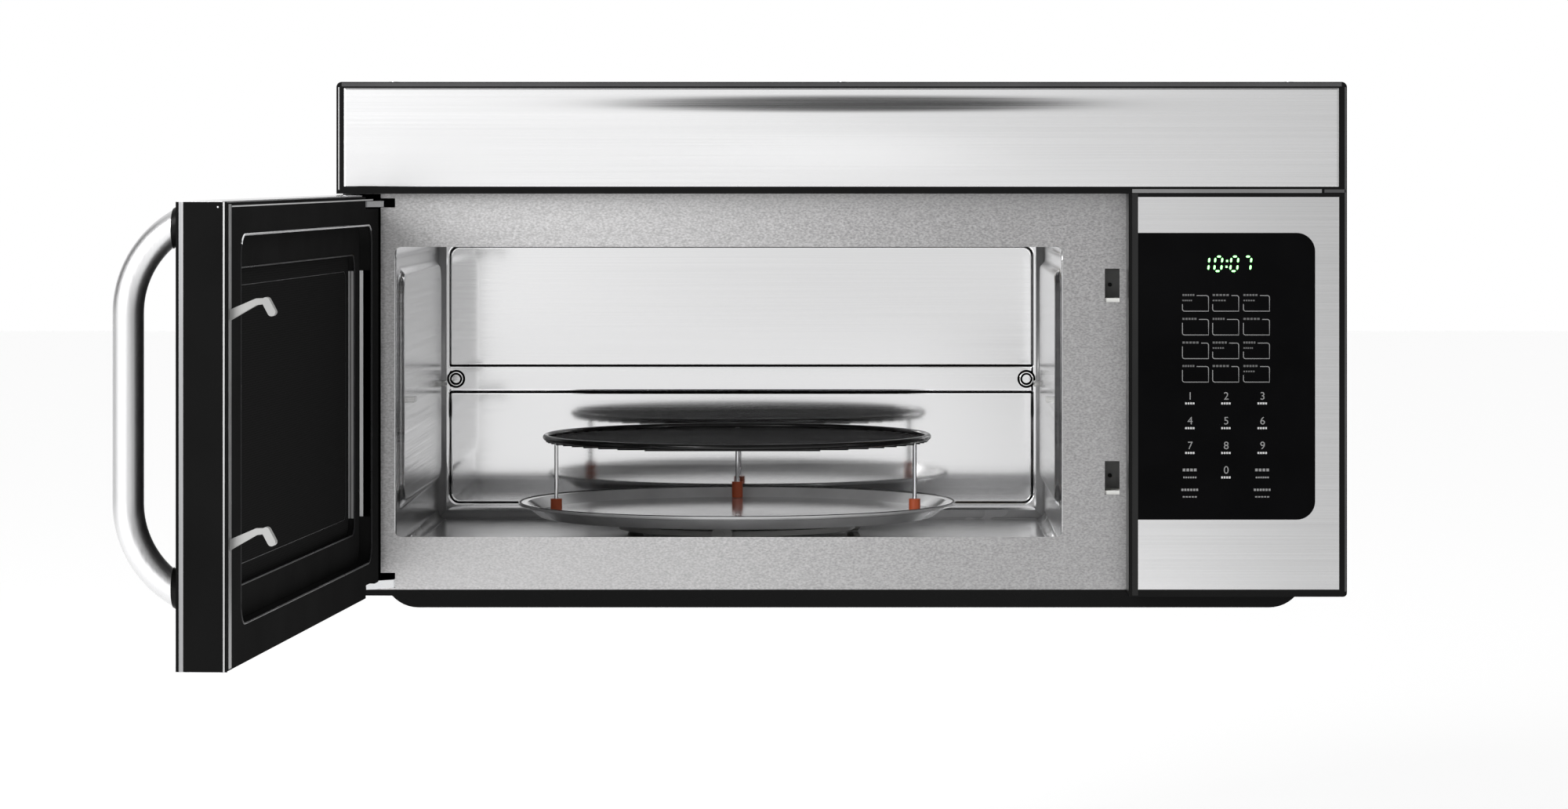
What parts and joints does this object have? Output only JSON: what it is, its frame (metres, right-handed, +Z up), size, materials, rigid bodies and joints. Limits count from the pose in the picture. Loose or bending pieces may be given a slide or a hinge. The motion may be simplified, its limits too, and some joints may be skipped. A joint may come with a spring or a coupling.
{
  "type": "over-the-range microwave oven",
  "caption": "Stainless over-the-range microwave and convection oven with a side-hinged door, bow handle, touch panel, turntable, wire rack and vent.",
  "frame": {"origin": "on the wall face at mid-width, 200 mm above the underside of the base pan", "axes": "+Z up, +X to the right seen from the front, the front faces -Y and the wall is at y=0"},
  "size_m": [0.8441, 0.9926, 0.3988],
  "materials": {
    "case_steel": "grey baked enamel on folded steel",
    "plated_steel": "zinc-plated sheet, dull",
    "front_steel": "satin stainless with a fine grain",
    "cavity_steel": "bright annealed stainless, almost a mirror",
    "panel_steel": "stainless brushed from side to side",
    "black_plastic": "black moulded plastic",
    "black_pan": "black gloss enamel",
    "black_glass": "black printed glass",
    "clear_lens": "frosted lamp lens",
    "clear_plastic": "translucent plastic",
    "white_plastic": "white moulded plastic",
    "mica": "mica sheet",
    "copper": "enamelled copper",
    "cast": "aluminium",
    "dark_steel": "dark varnished laminations",
    "carbon": "charcoal in a black mesh",
    "filter_mesh": "expanded aluminium mesh",
    "board": "green circuit board",
    "display": "dark display with green digits",
    "tray_enamel": "dark glossy enamel",
    "rack_coating": "black non-stick coating",
    "chrome": "bright chrome",
    "silicone": "orange-red silicone",
    "zinc": "bright zinc plate",
    "grey_plastic": "light grey acetal",
    "dark_plastic": "dark switch button",
    "screen": "black perforated screen",
    "spring_steel": "spring wire"
  },
  "bodies": {
    "case": {"outer_case": "case_steel", "rear_panel": "plated_steel", "chassis_floor": "plated_steel", "base_pan": "black_pan", "front_plate": "front_steel", "cavity_floor": "cavity_steel", "cavity_ceiling": "cavity_steel", "cavity_back_wall": "cavity_steel", "cavity_side_left": "cavity_steel", "cavity_side_right": "cavity_steel", "rack_supports": "clear_plastic", "waveguide": "plated_steel", "waveguide_cover": "mica", "magnetron": "cast", "hv_transformer": "dark_steel", "hv_capacitor": "cast", "cooling_fan_shroud": "black_plastic", "fan_motors": "dark_steel", "blower_housings": "plated_steel", "blower_motor": "dark_steel", "vent_trim": "black_plastic", "vent_panel": "panel_steel", "charcoal_filter": "carbon", "lamp_lenses": "clear_lens", "convection_housing": "plated_steel", "heater_element": "dark_steel", "control_housing": "black_plastic", "control_fascia": "panel_steel", "touch_glass": "black_glass", "display_module": "display", "control_board": "board", "interlock_bracket": "white_plastic", "interlock_switches": "grey_plastic", "turntable_motor": "cast", "hinge_brackets": "zinc", "case_screws": "zinc"},
    "door": {"door_skin": "panel_steel", "door_glass": "black_glass", "door_body": "black_plastic", "choke_frame": "black_plastic", "door_screen": "screen", "handle": "panel_steel", "handle_bases": "black_plastic", "latch_spring": "spring_steel"},
    "latch": {"latch_bar": "grey_plastic"},
    "coupler": {"drive_coupler": "white_plastic"},
    "tray": {"turntable_tray": "tray_enamel"},
    "rack": {"cooking_rack": "rack_coating", "rack_legs": "chrome", "rack_feet": "silicone"},
    "ring": {"roller_ring": "white_plastic"},
    "wheel_1": {"roller_wheel_1": "white_plastic"},
    "wheel_2": {"roller_wheel_2": "white_plastic"},
    "wheel_3": {"roller_wheel_3": "white_plastic"},
    "cooling_fan": {"cooling_fan": "white_plastic"},
    "blower": {"blower_wheels": "white_plastic"},
    "convection_fan": {"convection_fan": "cast"},
    "filter_left": {"grease_filter_left": "filter_mesh"},
    "filter_right": {"grease_filter_right": "filter_mesh"},
    "plungers": {"switch_plungers": "dark_plastic"}
  },
  "joints": [
    {"name": "door_hinge", "type": "hinge", "parent": "case", "child": "door", "pos_m": [-0.3645, -0.4145, 0], "axis": [0, 0, 1], "range_deg": [-10, 93.9]},
    {"name": "latch_lift", "type": "slide", "parent": "door", "child": "latch", "axis": [0, 0, 1], "range_m": [0, 0.003], "stiffness_N_per_m": 400, "springref_m": -0.004, "deforming": ["latch_spring"]},
    {"name": "turntable_drive", "type": "hinge", "parent": "case", "child": "coupler", "pos_m": [-0.0845, -0.206, -0.155], "axis": [0, 0, 1], "continuous": true},
    {"name": "tray_lift", "type": "slide", "parent": "coupler", "child": "tray", "axis": [0, 0, 1], "range_m": [0, 0.03]},
    {"name": "rack_lift", "type": "slide", "parent": "tray", "child": "rack", "axis": [0, 0, 1], "range_m": [0, 0.03]},
    {"name": "ring_spin", "type": "hinge", "parent": "case", "child": "ring", "pos_m": [-0.0845, -0.206, -0.15175], "axis": [0, 0, 1], "continuous": true},
    {"name": "wheel_1_spin", "type": "hinge", "parent": "ring", "child": "wheel_1", "pos_m": [0.00794, -0.16289, -0.15175], "axis": [0.9063, 0.4226, 0], "continuous": true},
    {"name": "wheel_2_spin", "type": "hinge", "parent": "ring", "child": "wheel_2", "pos_m": [-0.16805, -0.14749, -0.15175], "axis": [-0.8192, 0.5736, 0], "continuous": true},
    {"name": "wheel_3_spin", "type": "hinge", "parent": "ring", "child": "wheel_3", "pos_m": [-0.09339, -0.30761, -0.15175], "axis": [-0.0872, -0.9962, 0], "continuous": true},
    {"name": "cooling_fan_spin", "type": "hinge", "parent": "case", "child": "cooling_fan", "pos_m": [0.275, -0.06, -0.05], "axis": [0, 1, 0], "continuous": true},
    {"name": "blower_spin", "type": "hinge", "parent": "case", "child": "blower", "pos_m": [-0.027, -0.075, 0.14], "axis": [1, 0, 0], "continuous": true},
    {"name": "convection_fan_spin", "type": "hinge", "parent": "case", "child": "convection_fan", "pos_m": [-0.215, -0.27, 0.1], "axis": [0, 0, 1], "continuous": true},
    {"name": "filter_left_drop", "type": "slide", "parent": "case", "child": "filter_left", "axis": [0, 0, -1], "range_m": [0, 0.06]},
    {"name": "filter_right_drop", "type": "slide", "parent": "case", "child": "filter_right", "axis": [0, 0, -1], "range_m": [0, 0.06]},
    {"name": "plunger_press", "type": "slide", "parent": "case", "child": "plungers", "axis": [0, 1, 0], "range_m": [0, 0.002], "stiffness_N_per_m": 300, "springref_m": -0.003}
  ],
  "couplings": [
    {"joint": "ring_spin", "follows": "turntable_drive", "ratio": 0.5},
    {"joint": "wheel_1_spin", "follows": "turntable_drive", "ratio": -6.4151},
    {"joint": "wheel_2_spin", "follows": "turntable_drive", "ratio": -6.4151},
    {"joint": "wheel_3_spin", "follows": "turntable_drive", "ratio": -6.4151}
  ]
}
